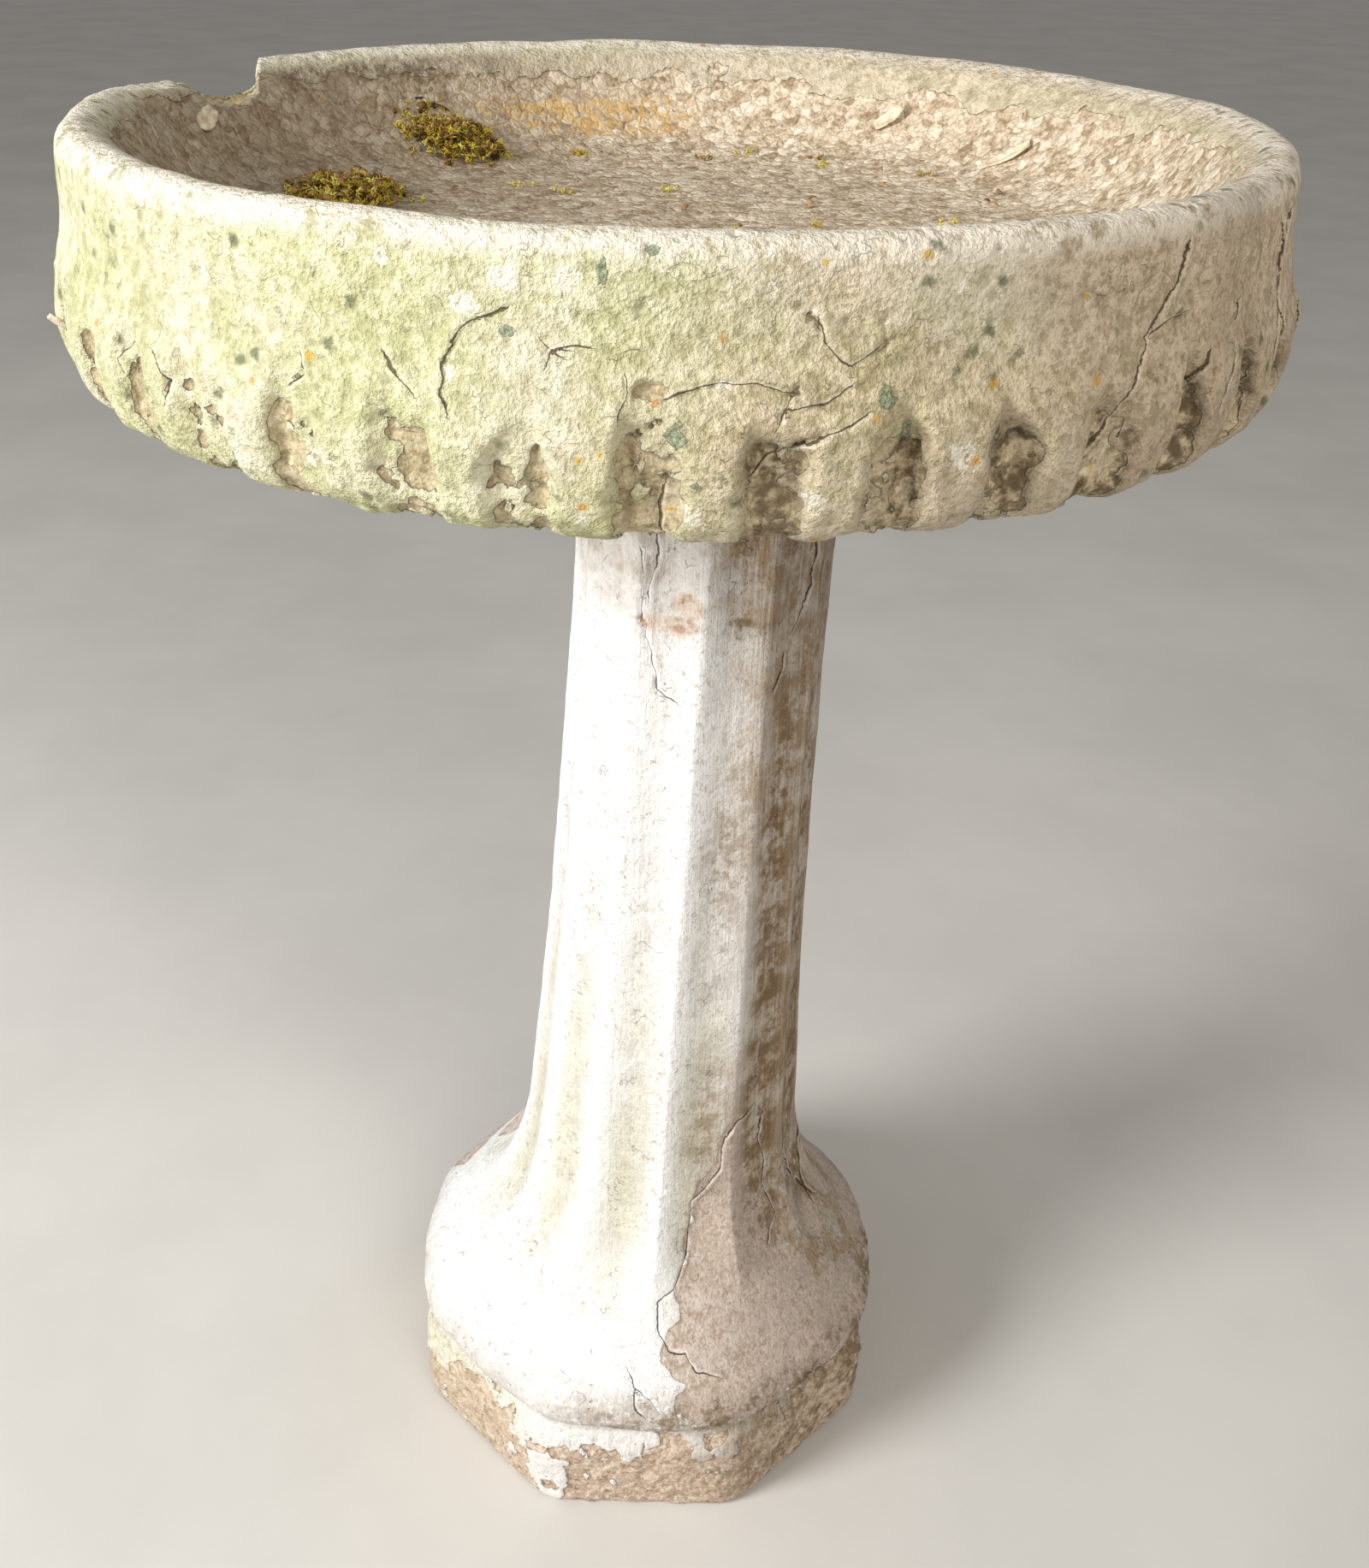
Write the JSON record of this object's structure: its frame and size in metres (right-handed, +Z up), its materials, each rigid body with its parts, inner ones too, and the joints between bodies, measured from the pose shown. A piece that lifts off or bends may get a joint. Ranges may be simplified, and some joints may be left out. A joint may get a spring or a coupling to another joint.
{
  "type": "bird bath",
  "caption": "Free-standing cast-stone bird bath: a scalloped round basin that rests loose on a fluted pedestal with an octagonal foot.",
  "frame": {"origin": "on the ground under the centre of the octagonal foot", "axes": "+Z up along the bird bath's height, -Y towards the front, which one flat of the foot faces"},
  "size_m": [0.464, 0.464, 0.66],
  "materials": {
    "basin_stone": "flaking off-white masonry paint over rough cast stone, with algae, grime and lichen",
    "pedestal_stone": "flaking off-white masonry paint over rough cast stone, cleaner than the basin",
    "reinforcing_steel": "mill finish steel, cast in",
    "pin_steel": "galvanised, dull",
    "moss": "soft tufted moss with leaf litter"
  },
  "bodies": {
    "pedestal": {"pedestal": "pedestal_stone", "pedestal_rods": "reinforcing_steel"},
    "pin": {"locating_pin": "pin_steel"},
    "basin": {"basin": "basin_stone", "basin_rim_wire": "reinforcing_steel", "basin_floor_bars": "reinforcing_steel", "moss_clump_behind": "moss", "moss_clump_left": "moss"}
  },
  "joints": [
    {"name": "basin_turn", "type": "hinge", "parent": "pedestal", "child": "pin", "pos_m": [0, 0, 0.552], "axis": [0, 0, 1], "continuous": true},
    {"name": "basin_lift", "type": "slide", "parent": "pin", "child": "basin", "axis": [0, 0, 1], "range_m": [0, 0.06]}
  ]
}
